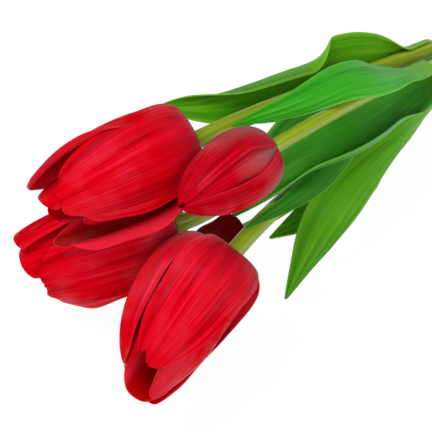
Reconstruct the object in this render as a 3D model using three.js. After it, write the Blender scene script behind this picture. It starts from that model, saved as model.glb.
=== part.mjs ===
// Artificial tulip bouquet lying on its side: three open blooms and two buds, each a head of six
// moulded petals pushed on a wired stem, with clasping leaves and one flat band round the stems.
// Millimetres, +Z up. The heads point towards -X and the stems run along +X.
import * as THREE from 'three';

// Driving dimensions
const fitGap = 0.3; // clearance between pieces that seat on each other
const wireRadius = 1.1; // steel wire inside every stem
const bloomStemRadius = 2.8;
const budStemRadius = 2.2;
const pegLength = 6; // wire that stands out of the stem and carries the head
const petalThickness = 0.8;
const leafThickness = 0.9;
const bloomLength = 52; // seat of the head to the tip of its petals
const bloomBelly = 15.2; // radius of an open bloom at its widest
const bloomMouth = 11.5; // radius of an open bloom at its petal tips
const budLength = 34;
const budBelly = 11.4;
const budMouth = 1.2;
const bloomWhorlGap = 3.2; // the inner three petals stand this far inside the outer three
const budWhorlGap = 2;
const seatHeight = 8.5; // receptacle: the plug that the petals are glued to
const headGap = 2; // room between neighbouring heads in the pile
const bandPlace = 165; // middle of the band along X
const bandAcross = 22; // middle of the band along Y
const bandWidth = 12;
const bandThickness = 1.2;
const tailEnd = 255; // where the stems are cut off square
const sheathLength = 10; // foot of a leaf that wraps its stem
const sheathWrap = 1.9; // how far each side of the foot wraps round, in radians

// Counts that set how finely each form is faceted
const stemSides = 8;
const stemSteps = 16;
const wireSides = 6;
const bandSides = 4; // per corner
const seatSides = 10;
const petalAcross = 6;
const petalAlong = 7;
const leafAcross = 8;
const leafAlong = 13;

// Sizes that follow from the driving ones
const headPitch = 2 * bloomBelly + headGap;
const stemPitch = 2 * bloomStemRadius + fitGap;
const boreRadius = wireRadius + fitGap;
const seatNeck = boreRadius + 0.9; // upper step of the receptacle, under the inner petals
const seatStep = seatHeight / 2;

const red = new THREE.Color(0.72, 0.01, 0.03);
const materials = {
  petal: new THREE.MeshStandardMaterial({ color: red, roughness: 0.45, metalness: 0 }),
  leaf: new THREE.MeshStandardMaterial({ color: 0x3a8f22, roughness: 0.45, metalness: 0 }),
  stem: new THREE.MeshStandardMaterial({ color: 0x8a9a1e, roughness: 0.4, metalness: 0 }),
  wire: new THREE.MeshStandardMaterial({ color: 0x8c8f92, roughness: 0.35, metalness: 1 }),
  seat: new THREE.MeshStandardMaterial({ color: 0x93a62c, roughness: 0.5, metalness: 0 }),
  band: new THREE.MeshStandardMaterial({ color: 0xb9a27c, roughness: 0.7, metalness: 0 }),
};

const bloomForm = {
  length: bloomLength,
  belly: bloomBelly,
  mouth: bloomMouth,
  outerTurn: 1.1, // half the turn that a petal spans round the axis, in radians
  innerTurn: 0.96,
  rootTurn: 0.9,
  tip: 0.6, // share of that turn left at the tip
  fade: 1.8, // how late it narrows
  innerReach: 0.94,
  whorlGap: bloomWhorlGap,
  lap: 1.1,
  shoulder: 1.32,
  dimple: 12,
  seatRadius: bloomStemRadius + 0.5, // lower step of the receptacle, under the outer petals
  stemRadius: bloomStemRadius,
};
const budForm = {
  length: budLength,
  belly: budBelly,
  mouth: budMouth,
  outerTurn: 1,
  innerTurn: 0.9,
  rootTurn: 1,
  tip: 0.8,
  fade: 2,
  innerReach: 0.84,
  whorlGap: budWhorlGap,
  lap: 0.6,
  shoulder: 1.12,
  dimple: 5,
  seatRadius: budStemRadius + 0.7,
  stemRadius: budStemRadius,
};

// Where each head sits: along (X), across (Y) and up (Z) in head pitches, then the way its axis points in
// degrees: yaw from -X towards +Y, pitch above the horizon. neck is how long the stem keeps to the axis, in
// mm, and slot its place in the band.
// Every petal has its own angle round the axis (0 towards -Y, 90 up) and its own bearing: reach scales its
// length, tuck and flare draw it in or open its tip in mm, fade is how late it narrows, lobes are notches of
// its tip. Its left and right halves have their own turn, root and base (the turns at and near the root),
// tip (the share left at the tip) and crown (how far the tip is rounded off). lap puts a margin outside (1)
// or inside (-1) its neighbour, flap bends it out in mm near flapAt, and hem rolls it out in radians between
// the ends of hemSpan.
const heads = [
  {
    name: 'bloom_1',
    form: bloomForm,
    size: 0.95,
    along: -0.17,
    across: 0.192,
    up: 1.918,
    yaw: 2,
    pitch: -2,
    neck: 45,
    slot: [0.5, 1],
    outer: [
      {
        angle: 66,
        reach: 0.92,
        fade: 1.3,
        left: { base: 1.12, turn: 1.34, tip: 0.58, lap: -1 },
        right: { turn: 1.32, tip: 0.58, lap: 1.15 },
        lobes: [{ at: -0.75, depth: 0.05 }, { at: 0, depth: 0.03 }, { at: 0.55, depth: 0.04 }],
      },
      {
        angle: 164,
        flare: 0.5,
        fade: 2.4,
        left: { root: 0.58, base: 0.6, turn: 0.7, tip: 1.75, crown: 0.04, lap: -1.5 },
        right: { lap: -1 },
      },
      {
        angle: 306,
        tuck: 1.2,
        flare: -1,
        left: { lap: 1 },
        right: { turn: 0.88, tip: 1.1, lap: 1.3, hem: -1.5 },
      },
    ],
    inner: [{ angle: 120, reach: 1.08, flare: 2 }, { angle: 242 }, { angle: 2, reach: 0.86 }],
  },
  {
    name: 'bloom_2',
    form: bloomForm,
    size: 0.98,
    along: -0.41,
    across: 0.037,
    up: 0.931,
    yaw: 24,
    pitch: -16,
    neck: 20,
    slot: [1, 0],
    outer: [
      {
        angle: 16,
        reach: 0.88,
        flare: 3,
        flapAt: 0.82,
        left: { base: 1, turn: 0.78, tip: 0.86, lap: 1, flap: 3 },
        right: { turn: 1.1, tip: 0.86, lap: -1 },
        lobes: [{ at: 0.1, depth: 0.03 }, { at: -0.5, depth: 0.04 }],
      },
      {
        angle: 142,
        reach: 1.02,
        flare: -1,
        fade: 2.4,
        left: { turn: 0.68, tip: 1.35, crown: 0.04, lap: 1 },
        right: { base: 0.86, turn: 0.95, tip: 0.8, lap: -1 },
      },
      { angle: 254, left: { lap: 1 }, right: { lap: 1 } },
    ],
    inner: [{ angle: 84, reach: 1.05 }, { angle: 200 }, { angle: 318 }],
  },
  {
    name: 'bloom_3',
    form: bloomForm,
    size: 0.98,
    along: -0.303,
    across: -0.71,
    up: 1.234,
    yaw: -22,
    pitch: -10,
    neck: 30,
    slot: [-1, 0],
    outer: [
      {
        angle: 76,
        reach: 0.84,
        left: { base: 1.1, turn: 0.88, tip: 0.45, crown: 0.06, lap: 0.4 },
        right: { root: 0.76, turn: 0.8, tip: 0.66, crown: 0.1, lap: 1.4 },
        lobes: [{ at: 0.4, depth: 0.06 }],
      },
      {
        angle: 170,
        reach: 0.87,
        tuck: -2.6,
        flare: -1.2,
        fade: 3,
        left: { root: 0.6, base: 0.95, turn: 0.7, tip: 1.85, crown: 0.04, lap: -3.4 },
        right: { turn: 1.05, tip: 0.85, lap: -1 },
      },
      {
        angle: 300,
        reach: 0.95,
        tuck: 2,
        flare: -1.5,
        fade: 0.9,
        hemSpan: [0.1, 0.58],
        left: { tip: 0.9, lap: 1 },
        right: { base: 1.2, turn: 0.66, tip: 0.6, lap: 0, hem: -0.8 },
      },
    ],
    inner: [
      { angle: 150 },
      { angle: 268, reach: 1.04, left: { tip: 0.9, crown: 0.1 }, right: { tip: 0.9, crown: 0.1 } },
      { angle: 27, reach: 1.02, left: { turn: 0.78 }, right: { turn: 1.05, tip: 0.45 } },
    ],
  },
  {
    name: 'bud_1',
    form: budForm,
    size: 1,
    along: 0.281,
    across: -0.464,
    up: 2.283,
    yaw: -8,
    pitch: 5.5,
    neck: 45,
    slot: [-0.5, 1],
    outer: [
      { angle: 126, left: { root: 1.1, base: 1.14, turn: 0.86, lap: -0.5 }, right: { lap: 1 } },
      { angle: 234, left: { root: 0.86, turn: 0.88 }, right: { root: 0.86, turn: 0.88, lap: -1 } },
      { angle: 342, left: { lap: 1 }, right: { root: 1.22, base: 1.3, turn: 0.96, lap: -0.5 } },
    ],
    inner: [
      { angle: 57, reach: 1.1, tuck: -0.3, left: { turn: 0.62 }, right: { turn: 0.62 } },
      { angle: 177 },
      { angle: 297 },
    ],
  },
  {
    name: 'bud_2',
    form: budForm,
    size: 0.66,
    along: 0.306,
    across: -0.023,
    up: 0.256,
    yaw: 3,
    pitch: 0,
    neck: 45,
    slot: [0, 0],
    outer: [{ angle: 90 }, { angle: 210 }, { angle: 330 }],
    inner: [{ angle: 150 }, { angle: 270 }, { angle: 30 }],
  },
];

// A smooth step from 0 to 1 between two places.
const ease = (from, to, at) => THREE.MathUtils.smoothstep(at, from, to);

// A closed shell of even thickness on both sides of sheet(u, v), with u from -1 to 1 and v from 0 to 1.
function shell(sheet, across, along, thickness) {
  const positions = [];
  const faces = [];
  const nudge = 1e-3;
  for (const side of [0.5, -0.5]) {
    for (let j = 0; j <= along; j++) {
      for (let i = 0; i <= across; i++) {
        const u = (2 * i) / across - 1;
        const v = j / along;
        const alongU = sheet(u + nudge, v).sub(sheet(u - nudge, v));
        const alongV = sheet(u, Math.min(1, v + nudge)).sub(sheet(u, Math.max(0, v - nudge)));
        const normal = alongU.cross(alongV).normalize();
        positions.push(...sheet(u, v).addScaledVector(normal, side * thickness));
      }
    }
  }
  const row = across + 1;
  const layer = row * (along + 1);
  const quad = (a, b, c, d) => faces.push(a, b, c, a, c, d);
  for (let j = 0; j < along; j++) {
    for (let i = 0; i < across; i++) {
      const a = j * row + i;
      quad(a, a + 1, a + row + 1, a + row);
      quad(layer + a, layer + a + row, layer + a + row + 1, layer + a + 1);
    }
  }
  const rim = [];
  for (let i = 0; i < across; i++) rim.push(i);
  for (let j = 0; j < along; j++) rim.push(j * row + across);
  for (let i = across; i > 0; i--) rim.push(along * row + i);
  for (let j = along; j > 0; j--) rim.push(j * row);
  rim.forEach((a, k) => {
    const b = rim[(k + 1) % rim.length];
    quad(a, layer + a, layer + b, b);
  });
  const geometry = new THREE.BufferGeometry();
  geometry.setAttribute('position', new THREE.Float32BufferAttribute(positions, 3));
  geometry.setIndex(faces);
  return geometry;
}

// Walks across a sheet from its midrib to u: side is the way covered sideways, lift the way towards the
// inner face. cup is how far the sheet has turned in at its margin, hem the extra turn of the margin alone.
function acrossSheet(u, halfWidth, cup, hem) {
  const steps = 8;
  const reach = Math.abs(u);
  let side = 0;
  let lift = 0;
  for (let k = 0; k < steps; k++) {
    const s = ((k + 0.5) / steps) * reach;
    const turn = cup * s + hem * ease(0.45, 1.1, s);
    side += (Math.cos(turn) * halfWidth * reach) / steps;
    lift += (Math.sin(turn) * halfWidth * reach) / steps;
  }
  return { side: Math.sign(u) * side, lift };
}

// One petal: its midrib rises along a curve of radius against height, and its rows arch towards the tip.
function petalSheet(head, outer, bearing) {
  const { form, size } = head;
  const { reach = 1, tuck = 0, flare = 0, fade = form.fade, lobes = [] } = bearing;
  const { flapAt = 0.4, hemSpan = [0.35, 1.3] } = bearing;
  const usualTurn = outer ? form.outerTurn : form.innerTurn;
  const usual = { root: form.rootTurn, turn: usualTurn, tip: form.tip, crown: 0.14, flap: 0, hem: 0 };
  const left = { ...usual, lap: outer ? -1 : 0, ...bearing.left };
  const right = { ...usual, lap: outer ? 1 : 0, ...bearing.right };
  const inset = outer ? 0 : form.whorlGap;
  const belly = form.belly * size - inset - tuck;
  const tip = form.length * size * reach * (outer ? 1 : form.innerReach);
  const mouth = Math.max(form.mouth * size - inset, budMouth) + flare;
  const rootRadius = (outer ? form.seatRadius : seatNeck) + fitGap + petalThickness / 2;
  const rootHeight = outer ? 1.4 : seatStep + 0.8;
  const spine = new THREE.CubicBezierCurve(
    new THREE.Vector2(rootRadius, rootHeight),
    new THREE.Vector2(belly * form.shoulder, rootHeight - form.dimple),
    new THREE.Vector2(belly * 1.12, tip * 0.7),
    new THREE.Vector2(mouth, tip),
  );
  const widest = 0.42;
  return (u, v) => {
    const half = u < 0 ? left : right;
    const notches = lobes.map(({ at, depth }) => depth * Math.exp(-(((u - at) / 0.2) ** 2)));
    const crown = notches.reduce((sum, notch) => sum + notch, half.crown * Math.abs(u) ** 2.8);
    const rise = v * (1 - crown * v ** 4);
    const middle = spine.getPoint(rise);
    const ahead = spine.getTangent(rise);
    const baseTurn = THREE.MathUtils.lerp(half.root, half.base ?? half.turn, ease(0, 0.15, v));
    const fullTurn = THREE.MathUtils.lerp(baseTurn, half.turn, ease(0.2, 0.5, v));
    const narrowed = (Math.max(v - widest, 0) / (1 - widest)) ** fade;
    const halfTurn = fullTurn * (1 - (1 - half.tip) * narrowed);
    const hemmed = ease(hemSpan[0], hemSpan[0] + 0.25, v) * (1 - ease(hemSpan[1] - 0.2, hemSpan[1], v));
    const walked = acrossSheet(u, middle.x * halfTurn, halfTurn, half.hem * hemmed);
    const lapped = Math.sin(Math.PI * v) ** 0.7; // neighbours lap over each other between root and tip
    const bend = half.flap * Math.exp(-(((v - flapAt) / 0.13) ** 2)) * u * u;
    const lap = form.lap * lapped * Math.abs(u) * half.lap + bend;
    const swing = halfTurn * u;
    const radius = middle.x - walked.lift + lap * ahead.y * Math.cos(swing);
    return new THREE.Vector3(radius, walked.side + lap * ahead.y * Math.sin(swing), middle.y - lap * ahead.x);
  };
}

// The receptacle: a stepped plug with a blind socket for the wire, turned about the head's axis.
function receptacleGeometry(form) {
  const profile = [
    [0, seatHeight],
    [seatNeck - 0.8, seatHeight],
    [seatNeck, seatHeight - 0.8],
    [seatNeck, seatStep],
    [form.seatRadius, seatStep - 0.6],
    [form.seatRadius, fitGap],
    [boreRadius, fitGap],
    [boreRadius, pegLength + fitGap],
    [0, pegLength + fitGap],
  ].map(([r, z]) => new THREE.Vector2(r, z));
  return new THREE.LatheGeometry(profile.reverse(), seatSides).rotateX(Math.PI / 2);
}

// A rod or pipe swept through stations along a line, each ring square to it. Without a bore it is solid.
function sweep(stations, sides, radius, bore) {
  const positions = [];
  const faces = [];
  const rings = bore ? [radius, bore] : [radius];
  const last = stations.length - 1;
  for (const { centre, ahead } of stations) {
    const side = ahead.clone().cross(new THREE.Vector3(0, 0, 1)).normalize();
    const above = side.clone().cross(ahead);
    for (const size of rings) {
      for (let k = 0; k < sides; k++) {
        const angle = (2 * Math.PI * k) / sides;
        const corner = centre.clone().addScaledVector(side, size * Math.cos(angle));
        positions.push(...corner.addScaledVector(above, size * Math.sin(angle)));
      }
    }
  }
  const stride = rings.length * sides;
  const quad = (a, b, c, d) => faces.push(a, b, c, a, c, d);
  for (let k = 0; k < sides; k++) {
    const next = (k + 1) % sides;
    const end = last * stride;
    for (let j = 0; j < last; j++) {
      const at = j * stride;
      quad(at + k, at + stride + k, at + stride + next, at + next);
      if (bore) {
        const inner = at + sides;
        quad(inner + k, inner + next, inner + stride + next, inner + stride + k);
      }
    }
    if (bore) {
      quad(k, next, sides + next, sides + k);
      quad(end + k, end + sides + k, end + sides + next, end + next);
    } else if (k > 0 && next > 0) {
      faces.push(0, k, next, end, end + next, end + k);
    }
  }
  const geometry = new THREE.BufferGeometry();
  geometry.setAttribute('position', new THREE.Float32BufferAttribute(positions, 3));
  geometry.setIndex(faces);
  return geometry;
}

// Where the stems lie in the band: whole stem pitches across, and rows up from the surface it lies on.
function bundlePlace([across, row]) {
  const lowest = bandThickness + fitGap + bloomStemRadius;
  return new THREE.Vector2(across * stemPitch, lowest + row * stemPitch * Math.sin(Math.PI / 3));
}

// The head's frame: its axis, and the point where it seats on its stem.
function placeHead(head) {
  const yaw = THREE.MathUtils.degToRad(head.yaw);
  const pitch = THREE.MathUtils.degToRad(head.pitch);
  head.axis = new THREE.Vector3(-Math.cos(yaw), Math.sin(yaw), Math.tan(pitch)).normalize();
  head.base = new THREE.Vector3(head.along, head.across, head.up).multiplyScalar(headPitch);
  const right = new THREE.Vector3(0, 0, 1).cross(head.axis).normalize();
  const above = head.axis.clone().cross(right);
  const basis = new THREE.Matrix4().makeBasis(right, above, head.axis);
  head.turn = new THREE.Quaternion().setFromRotationMatrix(basis);
}

// The stations of a stem: its cut end, the band, then one sweep up to the head.
function stemStations(head) {
  const place = bundlePlace(head.slot);
  const inBundle = (x) => new THREE.Vector3(x, bandAcross + place.x, place.y);
  const bandStart = bandPlace - bandWidth;
  const neck = head.base.clone().addScaledVector(head.axis, -head.neck);
  const course = new THREE.CubicBezierCurve3(inBundle(bandStart), inBundle(bandStart - 60), neck, head.base);
  const stations = [{ centre: inBundle(tailEnd), ahead: new THREE.Vector3(-1, 0, 0) }];
  for (let k = 0; k <= stemSteps; k++) {
    stations.push({ centre: course.getPointAt(k / stemSteps), ahead: course.getTangentAt(k / stemSteps) });
  }
  return stations;
}

// The middle of a stem at a place along X.
function stemAt(head, x) {
  const far = head.stations.findIndex(({ centre }) => centre.x <= x);
  const to = head.stations.at(far < 0 ? -1 : far).centre;
  const from = head.stations.at(far < 0 ? -2 : far - 1).centre;
  return from.clone().lerp(to, THREE.MathUtils.clamp((x - from.x) / (to.x - from.x), 0, 1));
}

const bouquet = new THREE.Group();

function add(parent, name, geometry, material) {
  const mesh = new THREE.Mesh(geometry, material);
  mesh.name = name;
  parent.add(mesh);
  return mesh;
}

function buildHead(head) {
  placeHead(head);
  const group = new THREE.Group();
  group.position.copy(head.base);
  group.quaternion.copy(head.turn);
  bouquet.add(group);
  add(group, `${head.name}_receptacle`, receptacleGeometry(head.form), materials.seat);
  for (const whorl of ['outer', 'inner']) {
    head[whorl].forEach((bearing, k) => {
      const sheet = petalSheet(head, whorl === 'outer', bearing);
      const geometry = shell(sheet, petalAcross, petalAlong, petalThickness);
      const petal = add(group, `${head.name}_${whorl}_petal_${k + 1}`, geometry, materials.petal);
      petal.rotation.z = THREE.MathUtils.degToRad(bearing.angle);
    });
  }
  head.stations = stemStations(head);
  const pegEnd = { centre: head.base.clone().addScaledVector(head.axis, pegLength), ahead: head.axis };
  const stem = sweep(head.stations, stemSides, head.form.stemRadius, boreRadius);
  const wire = sweep([...head.stations, pegEnd], wireSides, wireRadius);
  add(bouquet, `${head.name}_stem`, stem, materials.stem);
  add(bouquet, `${head.name}_stem_wire`, wire, materials.wire);
}

heads.forEach(buildHead);

// Each leaf wraps its stem with its foot, from clasp towards the head. side is where its midrib runs, in
// degrees up from +Y round the stem. blade lists points of the midrib, across and up in mm from the stem.
// facing turns the inner face about the midrib at the middle and the tip, 0 up and 90 towards +Y. half is
// half the width, waist its share above the foot, kept up to waistEnd along the leaf, swell where it is full,
// point how late it narrows, cup and hems are turns of the margins in radians.
const leaves = [
  {
    name: 'leaf_upper',
    stem: 'bloom_1',
    clasp: 100,
    side: -31,
    blade: [
      { x: 76, across: 5.2, up: -2.2 },
      { x: 63, across: 6.6, up: -2.7 },
      { x: 43, across: 8.6, up: -4.1 },
      { x: 24, across: 10.2, up: -5 },
      { x: 9, across: 14.2, up: -6.7 },
      { x: -3, across: 23.4, up: -10.2 },
    ],
    facing: [-50, -35],
    half: 12.4,
    waist: 0.6,
    swell: 0.36,
    point: 2.3,
    cup: 0.5,
    hemRight: 1.3,
  },
  {
    name: 'leaf_front',
    stem: 'bud_1',
    clasp: 88,
    side: 85,
    blade: [
      { x: 66, across: 0.2, up: 6 },
      { x: 57, across: 0.6, up: 8.6 },
      { x: 44, across: 3.5, up: 8.1 },
      { x: 25, across: 7, up: 3.3 },
      { x: 5.5, across: 15, up: -3.5 },
    ],
    facing: [165, 150],
    half: 7.5,
    point: 1.8,
    cup: 0.45,
  },
  {
    name: 'leaf_broad',
    stem: 'bud_1',
    clasp: 116,
    side: 265,
    blade: [
      { x: 88, across: -0.8, up: -6.4 },
      { x: 63, across: -1.6, up: -11.4 },
      { x: 43, across: -0.6, up: -15.5 },
      { x: 25.5, across: 4.3, up: -23.3 },
      { x: 12, across: 6.6, up: -31 },
      { x: 0.5, across: 5.6, up: -36.6 },
    ],
    facing: [-24, -28],
    half: 12,
    waist: 0.5,
    swell: 0.6,
    point: 1.8,
    cup: 0.5,
    hemLeft: 1.4,
  },
  {
    name: 'leaf_narrow',
    stem: 'bloom_3',
    clasp: 76,
    side: 90,
    blade: [
      { x: 56, across: 0.3, up: 5.6 },
      { x: 46, across: -1.2, up: 8 },
      { x: 30, across: -4.2, up: 7 },
      { x: 16, across: -3.2, up: 6.7 },
      { x: 3, across: 1.2, up: 5 },
    ],
    facing: [162, 150],
    half: 4.2,
    point: 1.6,
    cup: 0.5,
  },
  {
    name: 'leaf_drooping',
    stem: 'bloom_3',
    clasp: 107,
    side: 190,
    blade: [
      { x: 84, across: -5.8, up: 0 },
      { x: 62, across: -8.6, up: 0.6 },
      { x: 40, across: -11.2, up: -1.2 },
      { x: 27.4, across: -12, up: -10.4 },
      { x: 19.2, across: -11.2, up: -25 },
      { x: 10.1, across: -11.2, up: -37.8 },
    ],
    facing: [145, 130],
    half: 11.5,
    waist: 0.36,
    waistEnd: 0.35,
    swell: 0.75,
    point: 2.2,
    cup: 0.4,
  },
  {
    name: 'leaf_lower',
    stem: 'bud_2',
    clasp: 84,
    side: 270,
    blade: [
      { x: 60, across: -3.6, up: -3.4 },
      { x: 48, across: -6, up: -4.4 },
      { x: 32, across: -5.5, up: -5 },
      { x: 18, across: -4, up: -6 },
    ],
    facing: [0, 0],
    half: 10,
    point: 1.8,
    cup: 0.45,
  },
];

// A leaf: a wrapped foot that opens into a long blade with a point.
function leafSheet(leaf) {
  const head = heads.find(({ name }) => name === leaf.stem);
  const facet = sheathWrap / leafAcross; // half the turn of one flat of the foot: flats keep the clearance
  const grip = (head.form.stemRadius + fitGap + leafThickness / 2) / Math.cos(facet);
  const side = THREE.MathUtils.degToRad(leaf.side);
  const heel = stemAt(head, leaf.clasp);
  const toe = stemAt(head, leaf.clasp - sheathLength);
  const stemAhead = toe.clone().sub(heel).normalize();
  const outwards = new THREE.Vector3(0, Math.cos(side), Math.sin(side)).projectOnPlane(stemAhead).normalize();
  const points = [0, 0.5, 1].map((share) => {
    return stemAt(head, leaf.clasp - share * sheathLength).addScaledVector(outwards, grip);
  });
  for (const { x, across, up } of leaf.blade) {
    points.push(stemAt(head, x).setX(x).add(new THREE.Vector3(0, across, up)));
  }
  const midrib = new THREE.CatmullRomCurve3(points, false, 'centripetal');
  const foot = sheathLength / midrib.getLength();
  const [midTurn, tipTurn] = leaf.facing.map(THREE.MathUtils.degToRad);
  const footAcross = stemAhead.clone().cross(new THREE.Vector3(0, 0, 1)).normalize();
  const footAbove = footAcross.clone().cross(stemAhead);
  const inwards = Math.atan2(-outwards.dot(footAcross), -outwards.dot(footAbove)) - midTurn;
  const footTurn = midTurn + Math.atan2(Math.sin(inwards), Math.cos(inwards));
  const { hemLeft = 0, hemRight = 0, waist = 0.6, waistEnd = foot, swell = 0.5 } = leaf;
  return (u, v) => {
    const along = midrib.getTangentAt(v);
    const across = along.clone().cross(new THREE.Vector3(0, 0, 1)).normalize();
    const above = across.clone().cross(along);
    const narrowed = ease(foot * 0.5, foot + 0.06, v);
    const opened = ease(foot, foot + 0.15, v);
    const turned = THREE.MathUtils.lerp(
      THREE.MathUtils.lerp(footTurn, midTurn, ease(foot, foot + 0.35, v)),
      tipTurn,
      ease(0.5, 1, v),
    );
    const inner = above.clone().multiplyScalar(Math.cos(turned)).addScaledVector(across, Math.sin(turned));
    const right = along.clone().cross(inner);
    const taper = 1 - 0.94 * (Math.max(v - 0.4, 0) / 0.6) ** leaf.point;
    const blade = leaf.half * THREE.MathUtils.lerp(waist, 1, ease(waistEnd, swell, v)) * taper;
    const halfWidth = THREE.MathUtils.lerp(grip * sheathWrap, blade, narrowed);
    const cup = THREE.MathUtils.lerp(halfWidth / grip, leaf.cup, opened);
    const hem = (u < 0 ? hemLeft : hemRight) * ease(0.3, 0.5, v) * ease(1, 0.75, v);
    const walked = acrossSheet(u, halfWidth, cup, hem);
    return midrib.getPointAt(v).addScaledVector(right, walked.side).addScaledVector(inner, walked.lift);
  };
}

for (const leaf of leaves) {
  add(bouquet, leaf.name, shell(leafSheet(leaf), leafAcross, leafAlong, leafThickness), materials.leaf);
}

// The outline of the bundle at a distance from the stems' middles: arcs round its four corner stems.
function bundleOutline(distance, Kind) {
  const outline = new Kind();
  const corners = [
    { slot: [1, 0], from: -90, to: 30 },
    { slot: [0.5, 1], from: 30, to: 90 },
    { slot: [-0.5, 1], from: 90, to: 150 },
    { slot: [-1, 0], from: 150, to: 270 },
  ];
  for (const { slot, from, to } of corners) {
    const place = bundlePlace(slot);
    const [start, end] = [from, to].map(THREE.MathUtils.degToRad);
    outline.absarc(place.x, place.y, distance, start, end, false);
  }
  outline.closePath();
  return outline;
}

const bandShape = bundleOutline(bloomStemRadius + fitGap + bandThickness, THREE.Shape);
bandShape.holes.push(bundleOutline(bloomStemRadius + fitGap, THREE.Path));
const bandGeometry = new THREE.ExtrudeGeometry(bandShape, {
  depth: bandWidth,
  curveSegments: bandSides,
  bevelEnabled: false,
});
const band = add(bouquet, 'binding_band', bandGeometry, materials.band);
band.rotation.set(Math.PI / 2, Math.PI / 2, 0);
band.position.set(bandPlace - bandWidth / 2, bandAcross, 0);

// The frame's origin: the middle of the whole bouquet, on the surface it lies on.
const bounds = new THREE.Box3().setFromObject(bouquet, true);
const middle = bounds.getCenter(new THREE.Vector3());
for (const child of bouquet.children) child.position.sub(new THREE.Vector3(middle.x, middle.y, bounds.min.z));

export default bouquet;
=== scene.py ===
import math

import bpy
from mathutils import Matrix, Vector


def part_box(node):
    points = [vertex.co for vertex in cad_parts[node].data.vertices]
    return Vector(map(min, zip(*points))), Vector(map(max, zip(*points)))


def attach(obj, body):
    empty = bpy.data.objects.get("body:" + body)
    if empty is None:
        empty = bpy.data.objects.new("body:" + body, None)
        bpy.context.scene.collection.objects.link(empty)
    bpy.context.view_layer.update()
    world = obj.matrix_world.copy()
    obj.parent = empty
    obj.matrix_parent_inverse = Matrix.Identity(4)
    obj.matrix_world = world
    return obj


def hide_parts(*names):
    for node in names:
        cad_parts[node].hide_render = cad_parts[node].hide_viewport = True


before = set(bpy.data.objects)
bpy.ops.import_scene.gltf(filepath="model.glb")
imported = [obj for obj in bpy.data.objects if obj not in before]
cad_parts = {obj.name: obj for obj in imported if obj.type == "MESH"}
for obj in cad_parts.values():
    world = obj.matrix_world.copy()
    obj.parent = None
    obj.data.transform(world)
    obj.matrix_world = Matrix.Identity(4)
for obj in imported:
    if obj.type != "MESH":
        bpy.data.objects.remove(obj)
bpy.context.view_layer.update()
print("frame loaded")

mm = 0.001
bandLow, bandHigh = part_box("binding_band")
bandMiddle = (bandLow + bandHigh) / 2

# the bunch is laid out in mm round the middle of the pile, and the band tells where that lies in the frame
layout = {
    "bandX": 165,
    "bandY": 22,
    "bandWidth": 12,
    "bandThick": 1.2,
    "tailX": 255,
    "headPitch": 32.4,
    "stemPitch": 5.9,
}
origin = Vector((bandMiddle.x - layout["bandX"] * mm, bandMiddle.y - layout["bandY"] * mm, 0))


def inFrame(point):
    return origin + point * mm


# camera: the photo looks down on the pile from the front right
view = {"target": Vector((0, 0, 25)), "azimuth": -32, "elevation": 58, "distance": 480, "lens": 125}
azimuth, elevation = math.radians(view["azimuth"]), math.radians(view["elevation"])
viewBack = Vector((
    math.sin(azimuth) * math.cos(elevation), -math.cos(azimuth) * math.cos(elevation), math.sin(elevation)
))
viewRight = Vector((math.cos(azimuth), math.sin(azimuth), 0))
viewUp = viewBack.cross(viewRight)
viewTarget = inFrame(view["target"])

bpy.ops.object.select_all(action="DESELECT")
bpy.ops.object.camera_add(location=viewTarget + viewBack * view["distance"] * mm)
camera = bpy.context.object
camera.rotation_euler = viewBack.to_track_quat("Z", "Y").to_euler()
camera.data.lens = view["lens"]
camera.data.sensor_width = 36
camera.data.clip_start = 0.01
bpy.context.scene.camera = camera
print("camera placed")


# plain helpers

def ease(start, end, at):
    t = min(1, max(0, (at - start) / (end - start)))
    return t * t * (3 - 2 * t)


def mix(a, b, share):
    return a + (b - a) * share


def bump(at, middle, width):
    return math.exp(-(((at - middle) / width) ** 2))


class Course:
    # a line through many points that can be read by its share of the length
    def __init__(self, points):
        self.points = points
        self.reach = [0]
        for a, b in zip(points, points[1:]):
            self.reach.append(self.reach[-1] + (b - a).length)
        self.length = self.reach[-1]

    def find(self, share):
        goal = min(1, max(0, share)) * self.length
        low, high = 0, len(self.points) - 1
        while high - low > 1:
            middle = (low + high) // 2
            if self.reach[middle] <= goal:
                low = middle
            else:
                high = middle
        return low, (goal - self.reach[low]) / (self.reach[high] - self.reach[low])

    def at(self, share):
        low, part = self.find(share)
        return self.points[low].lerp(self.points[low + 1], part)

    def ahead(self, share):
        step = 0.012
        return (self.at(min(1, share + step)) - self.at(max(0, share - step))).normalized()


def deselectAll():
    if bpy.context.object and bpy.context.object.mode != "OBJECT":
        bpy.ops.object.mode_set(mode="OBJECT")
    bpy.ops.object.select_all(action="DESELECT")


def applyModifier(piece, kind, **settings):
    modifier = piece.modifiers.new(kind.title(), kind)
    for key, value in settings.items():
        setattr(modifier, key, value)
    bpy.context.view_layer.objects.active = piece
    bpy.ops.object.modifier_apply(modifier=modifier.name)


# a grid whose rows run across and columns along, laid on place(u, v) with u from -1 to 1 and v from 0 to 1
def layGrid(name, across, along, place):
    deselectAll()
    bpy.ops.mesh.primitive_grid_add(x_subdivisions=across, y_subdivisions=along, size=2)
    piece = bpy.context.object
    piece.name = name
    piece.data.name = name
    for vertex in piece.data.vertices:
        vertex.co = inFrame(place(vertex.co.x, (vertex.co.y + 1) / 2))
    piece.data.update()
    return piece


def finishSheet(piece, thickness, body, node, materials):
    for material in materials:
        piece.data.materials.append(material)
    applyModifier(
        piece, "SOLIDIFY", thickness=thickness * mm, offset=0, use_even_offset=False,
        material_offset=len(materials) - 1,
    )
    applyModifier(piece, "SUBSURF", levels=1, render_levels=1)
    deselectAll()
    piece.select_set(True)
    bpy.ops.object.shade_smooth()
    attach(piece, body)
    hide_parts(node)


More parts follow.
